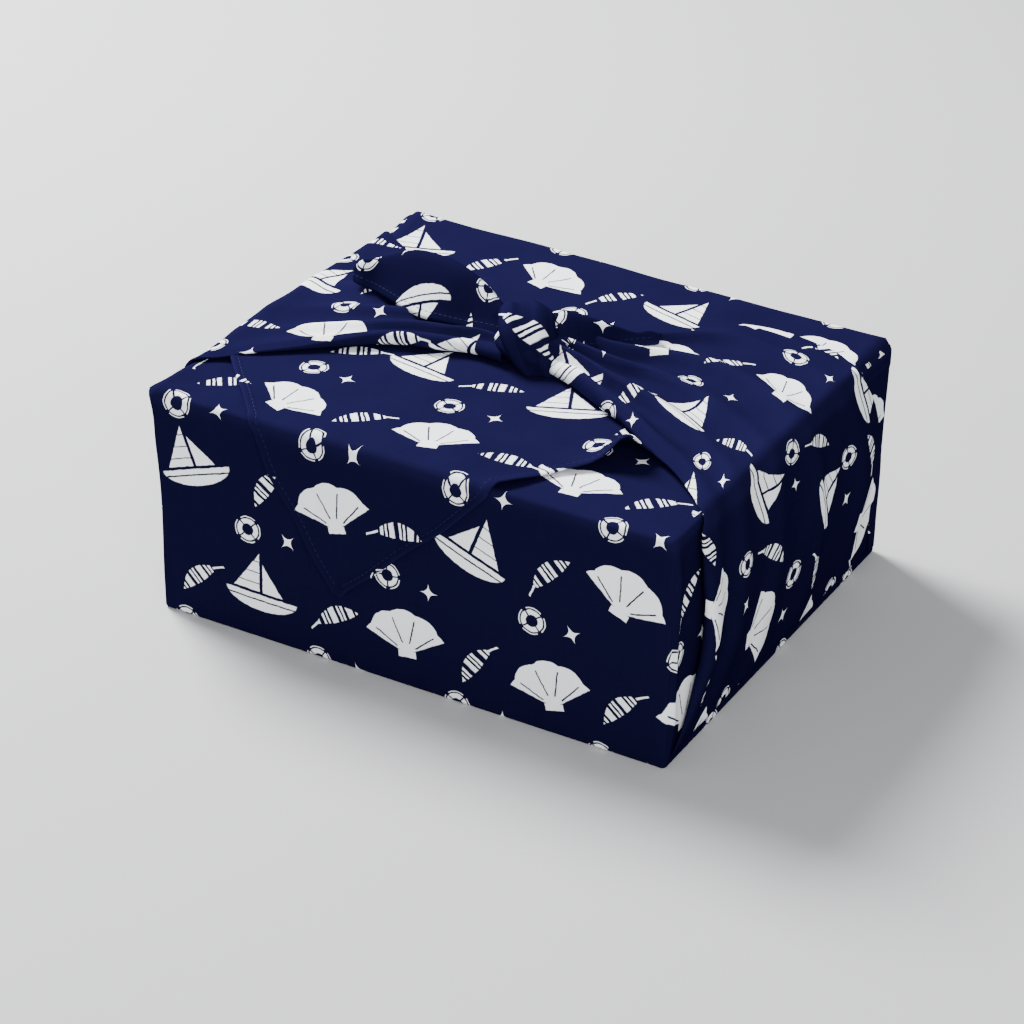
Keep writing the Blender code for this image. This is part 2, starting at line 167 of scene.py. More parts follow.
print("foot of the map at a =", round(FLAT_A + BEND + FOOT_START + FOOT, 4))

# %% [markdown]
# ## One mesh from many sheets
# The cloth is one piece, so its sheets end in one mesh. Each sheet is a grid of points
# for its outside. Its inside is the same grid moved in along its normals, and a rim joins
# the two, so that the sheet is closed and has a real thickness. The map place of every
# corner, in metres of cloth, becomes the UV map that the print and the weave follow, and
# a second value tells the finish where to pale the cloth: partly wear along hems and edges,
# and partly painted highlight on crests, ridges and edges.

# %% Sheets to mesh
def grid_normals(points, closed=False):
    """Unit normals of a grid. Its rows cross its columns outwards."""
    if closed:
        points = np.concatenate([points[:, -1:], points, points[:, :1]], axis=1)
    normal = np.cross(np.gradient(points, axis=0), np.gradient(points, axis=1))
    normal = normal[:, 1:-1] if closed else normal
    return normal / np.maximum(np.linalg.norm(normal, axis=-1, keepdims=True), 1e-12)


def run_lengths(points, axis):
    """Length run along a grid, so that the print isn't stretched over the folds."""
    steps = np.linalg.norm(np.diff(points, axis=axis), axis=-1)
    start = np.zeros_like(steps.take([0], axis=axis))
    return np.concatenate([start, np.cumsum(steps, axis=axis)], axis=axis)


class ClothMesh:
    """Collects closed sheets and makes one object of them."""

    def __init__(self):
        self.points, self.faces, self.uvs, self.wear, self.count = [], [], [], [], 0

    def number(self, points, closed):
        """Gives a grid of points its numbers, its first column repeated if it is closed."""
        rows, columns = points.shape[:2]
        number = np.arange(rows * columns).reshape(rows, columns) + self.count
        self.points.append(points.reshape(-1, 3))
        self.count += rows * columns
        return np.concatenate([number, number[:, :1]], axis=1) if closed else number

    def quads(self, number, uv):
        for (i, j) in zip(number[:-1], number[1:]):
            self.faces += np.stack([i[:-1], j[:-1], j[1:], i[1:]], axis=-1).tolist()
        corners = [uv[:-1, :-1], uv[1:, :-1], uv[1:, 1:], uv[:-1, 1:]]
        self.uvs.append(np.stack(corners, axis=2).reshape(-1, 2))

    def strip(self, upper, lower, uv):
        """One row of faces between two lines of points, with the same cloth places."""
        self.quads(np.stack([upper, lower]), np.stack([uv, uv]))

    def cap(self, ring, uv):
        self.faces.append(ring.tolist())
        self.uvs.append(uv)

    def sheet(self, outside, uv, wear, thickness=CLOTH_THICKNESS, closed=False):
        """Adds a closed sheet. A closed grid goes round, and its first row gets a cap."""
        self.wear += [np.broadcast_to(wear, outside.shape[:2]).ravel()] * 2
        depth = np.asarray(thickness, float)[..., None]
        inside = outside - grid_normals(outside, closed) * depth
        outer, inner = self.number(outside, closed), self.number(inside, closed)
        self.quads(outer, uv)
        self.quads(inner[:, ::-1], uv[:, ::-1])
        self.strip(outer[-1], inner[-1], uv[-1])
        if closed:
            self.cap(outer[0, :-1], uv[0, :-1])
            self.cap(inner[0, -2::-1], uv[0, -2::-1])
        else:
            self.strip(inner[0], outer[0], uv[0])
        if not closed:
            self.strip(outer[::-1, -1], inner[::-1, -1], uv[::-1, -1])
            self.strip(outer[:, 0], inner[:, 0], uv[:, 0])

    def solid(self, rings, uv, wear):
        """Adds a closed tube of rings, with a cap on each end."""
        self.wear.append(np.broadcast_to(wear, rings.shape[:2]).ravel())
        number = self.number(rings, True)
        self.quads(number, uv)
        self.cap(number[0, :-1], uv[0, :-1])
        self.cap(number[-1, -2::-1], uv[-1, -2::-1])

    def make(self, name):
        mesh = bpy.data.meshes.new(name)
        mesh.from_pydata(np.concatenate(self.points).tolist(), [], self.faces)
        layer = mesh.uv_layers.new(name="cloth")
        layer.data.foreach_set("uv", np.concatenate(self.uvs).astype(np.float32).ravel())
        worn_and_highlit = mesh.attributes.new("wear", "FLOAT", "POINT")
        worn_and_highlit.data.foreach_set("value", np.concatenate(self.wear).astype(np.float32))
        mesh.shade_smooth()
        obj = bpy.data.objects.new(name, mesh)
        bpy.context.scene.collection.objects.link(obj)
        return obj


cloth = ClothMesh()

# %% [markdown]
# ## Creases
# A cloth pulled over a box is never quite flat: it has long shallow troughs and ridges
# where it is pulled towards the knot. Noise would give wrinkles anywhere, so the main
# ones are placed as short strokes on the map, each with its own width and
# height, and a faint slow swell is laid under them. Every layer uses the same creases,
# so that the layers stay apart.

# %% Creases placed one by one
Crease = namedtuple("Crease", "a0 b0 a1 b1 width height")
CREASES = (
    Crease(0.030, 0.060, 0.135, 0.112, 0.012, 0.0011),
    Crease(0.010, 0.050, 0.070, 0.116, 0.009, 0.0007),
    Crease(-0.030, 0.055, -0.060, 0.116, 0.011, 0.0008),
    Crease(0.060, 0.100, 0.138, 0.098, 0.010, -0.0007),
    Crease(-0.010, -0.030, -0.060, -0.116, 0.012, 0.0007),
    Crease(0.015, -0.030, 0.025, -0.150, 0.014, 0.0006),
    Crease(-0.075, -0.050, -0.100, -0.110, 0.008, 0.0005),
    Crease(-0.035, -0.120, -0.030, -0.185, 0.010, 0.0006),
    Crease(0.030, -0.090, -0.040, -0.128, 0.009, 0.0006),
    Crease(0.070, -0.100, 0.135, -0.090, 0.010, 0.0007),
    Crease(-0.135, -0.112, -0.090, -0.160, 0.014, 0.0007),
    Crease(0.110, -0.122, 0.070, -0.170, 0.016, 0.0008),
    Crease(0.134, -0.130, 0.120, -0.205, 0.010, 0.0007),
    Crease(0.020, -0.180, 0.090, -0.212, 0.018, 0.0006),
    Crease(-0.125, -0.170, -0.050, -0.212, 0.016, 0.0006),
    Crease(-0.020, 0.125, -0.045, 0.205, 0.014, 0.0009),
    Crease(0.070, 0.125, 0.095, 0.205, 0.013, 0.0008),
    Crease(-0.100, 0.125, -0.110, 0.200, 0.012, 0.0007),
    Crease(0.150, 0.030, 0.215, 0.012, 0.0050, 0.0010),
    Crease(0.152, 0.052, 0.200, 0.046, 0.0055, 0.0009),
    Crease(0.148, -0.020, 0.235, -0.060, 0.0090, 0.0008),
    Crease(0.160, 0.084, 0.225, 0.096, 0.0080, 0.0008),
    Crease(0.150, -0.060, 0.185, -0.072, 0.0065, 0.0006),
)
# Slack cloth stands up a little where a corner of the box pushes it out.
# A power of 1 makes it round and 0.5 pointed.
Peak = namedtuple("Peak", "a b reach_a reach_b height power")
PEAKS = (
    Peak(-0.1403, -0.1165, 0.0008, 0.0008, 0.0012, 0.5),
    Peak(-0.1403, -0.1165, 0.0100, 0.0100, 0.0016, 1.0),
    Peak(-0.153, -0.129, 0.022, 0.022, 0.0018, 1.0),
    Peak(-0.150, 0.118, 0.170, 0.018, 0.0046, 1.0),
    Peak(-0.1396, -0.097, 0.008, 0.020, 0.0026, 1.0),
    Peak(-0.1396, -0.028, 0.009, 0.050, 0.0014, 1.0),
    Peak(-0.139, 0.050, 0.010, 0.070, 0.0016, 1.0),
    Peak(0.141, -0.119, 0.014, 0.014, 0.0010, 1.0),
)
CREASE_FADE = 0.012
DROP_END = BEND + FOOT_START + FOOT * math.pi / 2


def crease_lift(a, b):
    """Height of all the creases at arrays of map places. It fades out at the foot."""
    lift = 0.00025 * np.sin(a * 61 + 1.3) * np.sin(b * 53 - 0.4)
    lift = lift + 0.00018 * np.sin(a * 113 - b * 97 + 2.1)
    for crease in CREASES:
        run = np.array([crease.a1 - crease.a0, crease.b1 - crease.b0])
        length = math.hypot(*run)
        run = run / length
        along = (a - crease.a0) * run[0] + (b - crease.b0) * run[1]
        aside = (b - crease.b0) * run[0] - (a - crease.a0) * run[1]
        start = smooth_step(-CREASE_FADE, 0.3 * length, along)
        end = smooth_step(-CREASE_FADE, 0.3 * length, length - along)
        lift = lift + crease.height * start * end * np.exp(-(aside / crease.width) ** 2)
    for peak in PEAKS:
        off = ((a - peak.a) / peak.reach_a) ** 2 + ((b - peak.b) / peak.reach_b) ** 2
        lift = lift + peak.height * np.exp(-off ** peak.power)
    past = np.hypot(np.maximum(np.abs(a) - FLAT_A, 0), np.maximum(np.abs(b) - FLAT_B, 0))
    return lift * smooth_step(0, 0.025, DROP_END - past)


print(len(CREASES), "creases, the highest", max(c.height for c in CREASES) * 1000, "mm")

# %% [markdown]
# ## The tub: cloth under and round the box
# The middle of the cloth lies under the box, its front edge climbs the front and is laid
# over the top. One loop round the box, repeated from the middle of the base up the walls
# and in over the top, covers all of that in one closed shell. The print has to run up the
# front without a break, so its cloth place is measured round the walls from the middle of
# the front, and straight across on the base and the top.

# %% Tub
FACET_START = -0.088
LEFT_MIDDLE = -0.045
Leg = namedtuple("Leg", "count x0 y0 x1 y1 turn0 turn1")
TUB_LEGS = (
    Leg(20, 0.0, FLAT_B, FLAT_A, FLAT_B, 90, 90),
    Leg(6, FLAT_A, FLAT_B, FLAT_A, FLAT_B, 90, 0),
    Leg(26, FLAT_A, FLAT_B, FLAT_A, FACET_START, 0, 0),
    Leg(16, FLAT_A, FACET_START, FLAT_A, -FLAT_B, 0, 0),
    Leg(6, FLAT_A, -FLAT_B, FLAT_A, -FLAT_B, 0, -90),
    Leg(56, FLAT_A, -FLAT_B, -FLAT_A, -FLAT_B, -90, -90),
    Leg(6, -FLAT_A, -FLAT_B, -FLAT_A, -FLAT_B, -90, -180),
    Leg(16, -FLAT_A, -FLAT_B, -FLAT_A, LEFT_MIDDLE, -180, -180),
    Leg(16, -FLAT_A, LEFT_MIDDLE, -FLAT_A, FLAT_B, -180, -180),
    Leg(6, -FLAT_A, FLAT_B, -FLAT_A, FLAT_B, -180, -270),
    Leg(20, -FLAT_A, FLAT_B, 0.0, FLAT_B, -270, -270),
)
BASE_ROWS, WALL_ROWS, TURN_ROWS, TOP_ROWS = 8, 34, 7, 12
HOLE_SHARE = 0.06


def corner_facet(a, b):
    """The slack of the front layer that bulges round the front right edge."""
    drop = np.maximum(a - FLAT_A, 0)
    along = smooth_step(0.004, 0.024, drop) * smooth_step(0, 0.030, DROP_END - drop)
    return 0.0026 * along * np.exp(-((b + 0.1170) / 0.0050) ** 2)


def edge_wear(a, b):
    """From 0 to 1 where the cloth bends over an edge of the box. The finish pales the cloth by it,
    partly as wear and partly as painted highlight on the bend.
    """
    past = np.hypot(np.maximum(np.abs(a) - FLAT_A, 0), np.maximum(np.abs(b) - FLAT_B, 0))
    return np.exp(-((past - BEND / 2) / BEND) ** 2)


def tub_loop():
    """Start and way out of every column, clockwise from the middle of the back."""
    spots = []
    run = 0.0
    for leg in TUB_LEGS:
        length = abs(leg.x1 - leg.x0) + abs(leg.y1 - leg.y0)
        length += EDGE * math.radians(abs(leg.turn1 - leg.turn0))
        for i in range(leg.count):
            f = i / leg.count
            turn = math.radians(leg.turn0 + (leg.turn1 - leg.turn0) * f)
            spots.append((
                leg.x0 + (leg.x1 - leg.x0) * f, leg.y0 + (leg.y1 - leg.y0) * f,
                math.cos(turn), math.sin(turn), run + length * f,
            ))
        run += length
    spots = np.array(spots + [spots[0][:4] + (run,)])
    spots[:, 4] = run / 2 - spots[:, 4]
    return spots


def make_tub():
    spots = tub_loop()
    start, out, around = spots[:, :2], spots[:, 2:4], spots[:, 4]
    rows, uvs, wear = [], [], []
    past = np.concatenate([
        np.linspace(DROP_END, BEND + FOOT_START, TURN_ROWS, endpoint=False),
        np.linspace(BEND + FOOT_START, BEND, WALL_ROWS, endpoint=False),
        np.linspace(BEND, 0, TURN_ROWS),
    ])
    foot = wrap(*(start + out * DROP_END).T, 0.0)
    for share in np.linspace(HOLE_SHARE, 1, BASE_ROWS, endpoint=False):
        rows.append(foot * np.array([share, share, 0]))
        uvs.append(np.stack([rows[-1][:, 0], -(HALF_DEPTH + rows[-1][:, 1])], axis=-1))
        wear.append(np.zeros(len(foot)))
    for over in past:
        a, b = (start + out * over).T
        rows.append(wrap(a, b, crease_lift(a, b) + corner_facet(a, b)))
        uvs.append(np.stack([around, np.full_like(around, DROP_END - over)], axis=-1))
        # Paler over the box's edges: partly wear, partly painted highlight on the bend.
        wear.append(edge_wear(a, b))
    for share in np.linspace(0.99, HOLE_SHARE, TOP_ROWS):
        a, b = (start * share).T
        rows.append(wrap(a, b, crease_lift(a, b)))
        uvs.append(np.stack([a, DROP_END + FLAT_B + b], axis=-1))
        wear.append(edge_wear(a, b))
    cloth.sheet(np.array(rows)[:, :-1], np.array(uvs), np.array(wear)[:, :-1], closed=True)


make_tub()
print("tub:", cloth.count, "points")

# %% [markdown]
# ## The flap: the back corner of the cloth
# The corner opposite the viewer is pulled over the whole top, under the two arms, and
# its tip hangs down the front. Its free edges are hemmed: the cloth is turned in twice
# and sewn 5 mm from the edge, so the margin is thicker and the stitch line is a small
# trough. The sheet is a grid on the map, from the foot of the back wall to the tip.

# %% Flap
FlapEdge = namedtuple("FlapEdge", "b left_a right_a")
FLAP_EDGES = (
    FlapEdge(0.0000, -0.149, 0.149),
    FlapEdge(-0.0100, -0.149, 0.149),
    FlapEdge(-0.0180, -0.149, 0.141),
    FlapEdge(-0.0240, -0.149, 0.134),
    FlapEdge(-0.0400, -0.149, 0.113),
    FlapEdge(-0.0500, -0.147, 0.103),
    FlapEdge(-0.0580, -0.141, 0.095),
    FlapEdge(-0.0640, -0.135, 0.090),
    FlapEdge(-0.0700, -0.130, 0.084),
    FlapEdge(-0.0780, -0.123, 0.076),
    FlapEdge(-0.0890, -0.113, 0.066),
    FlapEdge(-0.1020, -0.101, 0.058),
    FlapEdge(-0.1130, -0.091, 0.051),
    FlapEdge(-0.1210, -0.083, 0.045),
    FlapEdge(-0.1440, -0.072, 0.024),
    FlapEdge(-0.1630, -0.060, 0.002),
    FlapEdge(-0.1800, -0.049, -0.015),
    FlapEdge(-0.1930, -0.041, -0.030),
    FlapEdge(-0.1985, -0.0385, -0.0345),
)
SKIRT_LIFT = 0.0004
HEM_RISE = 0.0005
HEM_EDGE = 0.0010
TENT_AT = (0.088, -0.066)
TENT_ALONG = (0.67, 0.74)
TENT_HEIGHT, TENT_LENGTH, TENT_REACH = 0.013, 0.010, 0.013
HEM_COLUMNS, FLAP_COLUMNS = 10, 60
EDGE_SLOPE = 0.8
STITCH_INSET = 0.0040
STITCH_RISE = 0.00006


def layer_lift(a, b):
    """Height of the flap's outside: it sinks on to the end and back walls."""
    over_a = np.maximum(np.abs(a) - FLAT_A, 0)
    over_b = np.maximum(b - FLAT_B, 0)
    return FLAP_LIFT + (SKIRT_LIFT - FLAP_LIFT) * smooth_step(0, BEND, np.hypot(over_a, over_b))


def tent_lift(a, b):
    """The hem of the flap pulled up beside the right arm."""
    off_a, off_b = a - TENT_AT[0], b - TENT_AT[1]
    along = off_a * TENT_ALONG[0] + off_b * TENT_ALONG[1]
    inwards = np.maximum(off_b * TENT_ALONG[0] - off_a * TENT_ALONG[1], 0.0)
    return TENT_HEIGHT * np.exp(-(along / TENT_LENGTH) ** 2 - (inwards / TENT_REACH) ** 2)


def hem_profile(inset):
    """Height of a doubled margin at each distance from its edge."""
    rounded = np.sqrt(np.clip(inset / HEM_EDGE, 0, 1))
    margin = HEM_RISE * (rounded - smooth_step(HEM_WIDTH - 0.0008, HEM_WIDTH + 0.0006, inset))
    stitch = 0.0004 * np.exp(-((inset - HEM_WIDTH + 0.0010) / 0.0006) ** 2)
    return margin - stitch


def flap_columns(width):
    """Distances from the left edge, close together in both hems."""
    near = min(0.0075, 0.2 * width)
    hem = np.linspace(0, near, HEM_COLUMNS, endpoint=False)
    middle = np.linspace(near, width - near, FLAP_COLUMNS)
    return np.concatenate([hem, middle, width - hem[::-1]])


def flap_edges(b):
    """Where the flap's two free edges lie at each b."""
    table = np.array(FLAP_EDGES)[::-1]
    return np.interp(b, table[:, 0], table[:, 1]), np.interp(b, table[:, 0], table[:, 2])


def flap_lift(a, b, inset):
    """Height of the flap's outside at places that lie inset from its free edge."""
    on_front = smooth_step(-0.02, -0.06, b)
    wave = 0.0007 * (1 + np.sin(b * 160 + np.sign(a) * 1.1)) * np.exp(-(inset / 0.010) ** 2)
    return (
        layer_lift(a, b) + crease_lift(a, b) + tent_lift(a, b)
        + (hem_profile(inset) + wave) * on_front
    )


def make_flap():
    row_b = np.concatenate([
        np.linspace(FLAT_B + DROP_END, FLAT_B + BEND, 26, endpoint=False),
        np.linspace(FLAT_B + BEND, FLAT_B, 6, endpoint=False),
        np.linspace(FLAT_B, -FLAT_B, 74, endpoint=False),
        np.linspace(-FLAT_B, -FLAT_B - BEND, 6, endpoint=False),
        np.linspace(-FLAT_B - BEND, FLAP_EDGES[-1].b, 36),
    ])
    left, right = flap_edges(row_b)
    columns = np.array([flap_columns(width) for width in right - left])
    a, b = left[:, None] + columns, row_b[:, None] + 0 * columns
    inset = EDGE_SLOPE * np.minimum(columns, (right - left)[:, None] - columns)
    inset = np.minimum(inset, b - FLAP_EDGES[-1].b + 0.0002)
    extra = 1.2 * hem_profile(inset).clip(0) * smooth_step(-0.02, -0.06, b)
    # The free edges and the box's edges are paler: partly wear, partly painted highlight on the
    # rolled hem and the bend.
    cloth.sheet(wrap(a, b, flap_lift(a, b, inset)), np.stack([a, b], axis=-1),
                edge_wear(a, b) + np.exp(-(inset / 0.0012) ** 2), CLOTH_THICKNESS + extra)


def flap_hem_paths():
    """The stitch lines of the flap, down its two free edges."""
    b = np.linspace(-0.045, FLAP_EDGES[-1].b + 0.008, 120)
    left, right = flap_edges(b)
    away = STITCH_INSET / EDGE_SLOPE
    return [
        wrap(a, b, flap_lift(a, b, np.full_like(b, STITCH_INSET)) + STITCH_RISE)
        for a in (left + away, right - away)
    ]


make_flap()
print("with the flap:", cloth.count, "points")

# %% [markdown]
# ## The arms: the two side corners
# Each side corner climbs its end wall, is gathered as it turns over the edge and runs
# over the top to the knot. A gathered cloth shows as a few long folds that start wide
# and flat at the edge and stand up close to the knot, and its margins roll under. So an
# arm is drawn as stations from the knot to the foot: where its two edges lie on the
# map, how high it is, how tall its folds are and how thick the rolled edge is.

# %% Arm tables
ArmStation = namedtuple("ArmStation", "front_a front_b back_a back_b crown fold roll")
RIGHT_ARM = (
    ArmStation(0.008, -0.007, 0.004, 0.020, 0.0125, 0.0036, 0.0050),
    ArmStation(0.028, -0.016, 0.016, 0.030, 0.0092, 0.0074, 0.0050),
    ArmStation(0.053, -0.030, 0.034, 0.046, 0.0060, 0.0078, 0.0045),
    ArmStation(0.072, -0.040, 0.050, 0.068, 0.0044, 0.0066, 0.0040),
    ArmStation(0.092, -0.054, 0.070, 0.088, 0.0034, 0.0050, 0.0035),
    ArmStation(0.112, -0.067, 0.094, 0.093, 0.0030, 0.0036, 0.0030),
    ArmStation(0.127, -0.080, 0.120, 0.088, 0.0030, 0.0026, 0.0030),
    ArmStation(0.136, -0.090, 0.134, 0.080, 0.0032, 0.0024, 0.0032),
    ArmStation(0.141, -0.096, 0.140, 0.078, 0.0036, 0.0024, 0.0034),
    ArmStation(0.147, -0.097, 0.147, 0.084, 0.0042, 0.0026, 0.0036),
    ArmStation(0.165, -0.094, 0.165, 0.098, 0.0052, 0.0032, 0.0040),
    ArmStation(0.190, -0.092, 0.190, 0.109, 0.0060, 0.0036, 0.0042),
    ArmStation(0.215, -0.095, 0.215, 0.1125, 0.0052, 0.0034, 0.0040),
    ArmStation(0.238, -0.105, 0.238, 0.1125, 0.0026, 0.0018, 0.0028),
    ArmStation(0.252, -0.114, 0.252, 0.1125, 0.0008, 0.0005, 0.0010),
)
LEFT_ARM = (
    ArmStation(0.010, -0.013, 0.006, 0.020, 0.0120, 0.0032, 0.0050),
    ArmStation(0.028, -0.012, 0.024, 0.028, 0.0094, 0.0062, 0.0050),
    ArmStation(0.044, -0.017, 0.044, 0.038, 0.0074, 0.0064, 0.0045),
    ArmStation(0.067, -0.024, 0.067, 0.050, 0.0056, 0.0058, 0.0040),
    ArmStation(0.086, -0.038, 0.090, 0.062, 0.0046, 0.0048, 0.0035),
    ArmStation(0.105, -0.054, 0.108, 0.074, 0.0040, 0.0030, 0.0026),
    ArmStation(0.126, -0.072, 0.123, 0.082, 0.0030, 0.0014, 0.0018),
    ArmStation(0.135, -0.081, 0.134, 0.088, 0.0024, 0.0008, 0.0012),
    ArmStation(0.141, -0.088, 0.141, 0.093, 0.0019, 0.0005, 0.0010),
    ArmStation(0.147, -0.094, 0.147, 0.097, 0.0016, 0.0006, 0.0010),
    ArmStation(0.165, -0.103, 0.165, 0.107, 0.0014, 0.0012, 0.0011),
    ArmStation(0.190, -0.108, 0.190, 0.1125, 0.0014, 0.0015, 0.0012),
    ArmStation(0.215, -0.111, 0.215, 0.1125, 0.0011, 0.0012, 0.0010),
    ArmStation(0.240, -0.1125, 0.240, 0.1125, 0.0009, 0.0008, 0.0008),
    ArmStation(0.252, -0.1125, 0.252, 0.1125, 0.0006, 0.0004, 0.0008),
)
Fold = namedtuple("Fold", "at_knot at_edge at_foot front_width back_width depth")
RIGHT_FOLDS = (
    Fold(0.07, 0.05, 0.03, 0.040, 0.050, 1.0),
    Fold(0.27, 0.19, 0.16, 0.030, 0.060, 0.9),
    Fold(0.48, 0.38, 0.36, 0.032, 0.060, 0.8),
    Fold(0.68, 0.60, 0.60, 0.060, 0.040, 0.9),
    Fold(0.90, 0.84, 0.86, 0.045, 0.050, 0.7),
)
LEFT_FOLDS = (
    Fold(0.05, 0.05, 0.05, 0.040, 0.060, 0.9),
    Fold(0.22, 0.20, 0.25, 0.040, 0.045, 0.8),
    Fold(0.42, 0.38, 0.42, 0.035, 0.050, 0.8),
    Fold(0.62, 0.60, 0.66, 0.060, 0.040, 1.3),
    Fold(0.90, 0.90, 0.88, 0.045, 0.050, 0.7),
)
print(len(RIGHT_FOLDS), "folds right,", len(LEFT_FOLDS), "left")

# %% [markdown]
# ## An arm's section
# Read across, an arm starts below its own rolled edge, goes round the roll, over the
# folds, round the other roll and back under. The rolls are half ellipses whose height
# comes from the folds beside them, so that the section never breaks.

# %% Arms
ARM_ROWS = 140
SECTION_UNDER, SECTION_ROLL, SECTION_TOP = 3, 7, 46
UNDER_LIFT = 0.0009
UNDER_RUN = 0.006


def fold_height(stations, folds, along, v):
    """Height of an arm's outside over its layer, at v from its front to its back edge."""
    crown, fold = stations[:, 4:5], stations[:, 5:6]
    flat = np.sqrt(np.clip(1 - (2 * v - 1) ** 6, 0, 1))
    edge = smooth_step(0, 0.5, along)
    foot = smooth_step(0.5, 1, along)
    arch = 0.35 + 0.65 * flat * np.sin(math.pi * (0.12 + 0.76 * v))
    spread = 0.30 + 0.70 * np.exp(-(v / 0.06) ** 2)
    height = crown * (arch + (spread - arch) * foot)
    for item in folds:
        at = item.at_knot + (item.at_edge - item.at_knot) * edge
        at = at + (item.at_foot - item.at_edge) * foot
        width = np.where(v < at, item.front_width, item.back_width)
        height = height + fold * item.depth * np.exp(-((v - at) / width) ** 2)
    return height


def arm_section(stations, folds, along):
    """Places across the arm, as run from the front edge, and heights over its layer."""
    front, back = stations[:, 0:2], stations[:, 2:4]
    width = np.linalg.norm(back - front, axis=1)[:, None]
    roll = np.minimum(stations[:, 6:7], width / 4)
    under = np.linspace(1, 0, SECTION_UNDER, endpoint=False)[None, :]
    turn = np.linspace(0, math.pi, SECTION_ROLL, endpoint=False)[None, :]
    first = np.broadcast_to(roll / width, width.shape)
    v = first + (1 - 2 * first) * np.linspace(0, 1, SECTION_TOP)[None, :]
    top = fold_height(stations, folds, along, v)
    half = (top[:, :1] - UNDER_LIFT) / 2, (top[:, -1:] - UNDER_LIFT) / 2
    across = np.concatenate([
        roll + under * UNDER_RUN,
        roll - roll * np.sin(turn),
        v * width,
        width - roll + roll * np.sin(turn[:, ::-1] + turn[:, 1:2]),
        width - roll - under[:, ::-1] * UNDER_RUN,
    ], axis=1)
    height = np.concatenate([
        UNDER_LIFT + 0 * under + 0 * roll,
        UNDER_LIFT + half[0] * (1 - np.cos(turn)),
        top,
        UNDER_LIFT + half[1] * (1 - np.cos(turn[:, ::-1] + turn[:, 1:2])),
        UNDER_LIFT + 0 * under + 0 * roll,
    ], axis=1)
    return across / width, height


def make_arm(table, folds, side, print_shift=0.0):
    stations = smooth_rows(table, ARM_ROWS)
    along = np.linspace(0, 1, ARM_ROWS)[:, None]
    v, height = arm_section(stations, folds, along)
    a = side * (stations[:, 0:1] + (stations[:, 2:3] - stations[:, 0:1]) * v)
    b = stations[:, 1:2] + (stations[:, 3:4] - stations[:, 1:2]) * v
    under = layer_lift(a, b)
    if side < 0:
        past_flap = smooth_step(0.118, 0.136, np.abs(a)) * smooth_step(-0.064, -0.078, b)
        under = under - 0.8 * (under - SKIRT_LIFT) * past_flap
    points = wrap(a, b, under + crease_lift(a, b) + height)
    across = run_lengths(points, 1)
    across = across - across.mean(axis=1, keepdims=True) + print_shift
    outwards = run_lengths(points, 0)
    outwards = outwards.mean(axis=1, keepdims=True) + 0 * across
    uv = np.stack([side * (0.02 + outwards), across], axis=-1)
    # The higher a fold stands, the paler the cloth: painted highlight on the fold crests, plus
    # wear and painted highlight along the box's edges.
    low = height.min(axis=1, keepdims=True)
    wear = ((height - low) / (height.max(axis=1, keepdims=True) - low + 0.001)) ** 3
    wear = 0.6 * wear + edge_wear(a, b)
    if side < 0:
        points, uv, wear = points[:, ::-1], uv[:, ::-1], wear[:, ::-1]
    cloth.sheet(points, uv, wear)


make_arm(RIGHT_ARM, RIGHT_FOLDS, 1)
make_arm(LEFT_ARM, LEFT_FOLDS, -1, print_shift=0.012)
print("with the arms:", cloth.count, "points")

# %% [markdown]
# ## The knot
# A square knot shows one short band across its top, with the two free ends leaving it
# to the left and to the right behind. The band is a bundle of cloth, so its section is a
# flattened round with a few ridges that run along it. The turns hidden below it are one
# rounded bundle.

# %% Knot
StrapRow = namedtuple("StrapRow", "x y z half_width")
STRAP = (
    StrapRow(0.010, -0.007, 0.1215, 0.0105),
    StrapRow(0.006, -0.008, 0.1300, 0.0125),
    StrapRow(0.000, -0.004, 0.1390, 0.0140),
    StrapRow(-0.006, 0.005, 0.1440, 0.0135),
    StrapRow(-0.013, 0.015, 0.1405, 0.0120),
    StrapRow(-0.016, 0.022, 0.1310, 0.0105),
    StrapRow(-0.016, 0.023, 0.1215, 0.0095),
)
STRAP_ACROSS = np.array([0.871, 0.491, 0.0])
STRAP_HALF_THICKNESS = 0.0050
KNOT_CENTRE = np.array([-0.001, 0.004, 0.1310])
KNOT_RADII = np.array([0.0210, 0.0180, 0.0100])
# Where on the cloth the band and the turns below it are taken from.
STRAP_PLACE = (0.0265, 0.006)
KNOT_PLACE = (0.0196, 0.051)
STRAP_ROWS, STRAP_SIDES = 40, 64
KNOT_ROWS, KNOT_SIDES = 24, 48


def make_strap():
    spots = smooth_rows(STRAP, STRAP_ROWS)
    centres, half = spots[:, :3], spots[:, 3:4, None]
    along = np.gradient(centres, axis=0)
    out = np.cross(STRAP_ACROSS, along)
    out = out / np.linalg.norm(out, axis=1, keepdims=True)
    turn = np.linspace(0, 2 * math.pi, STRAP_SIDES, endpoint=False)[None, :, None]
    ridge = 1 + 0.20 * np.cos(5 * turn + 0.6) * np.sin(turn).clip(0)
    rings = (
        centres[:, None] + STRAP_ACROSS * half * np.cos(turn)
        + out[:, None] * STRAP_HALF_THICKNESS * ridge * np.sin(turn)
    )
    around = np.linspace(0, 0.05, STRAP_SIDES + 1)[None, :] + np.zeros((STRAP_ROWS, 1))
    around = around + STRAP_PLACE[0]
    length = run_lengths(centres[:, None], 0) + 0 * around + STRAP_PLACE[1]
    # The band's raised ridges get a paler navy: painted highlight.
    cloth.solid(rings, np.stack([around, length], axis=-1), 0.5 * (ridge[..., 0] > 1))


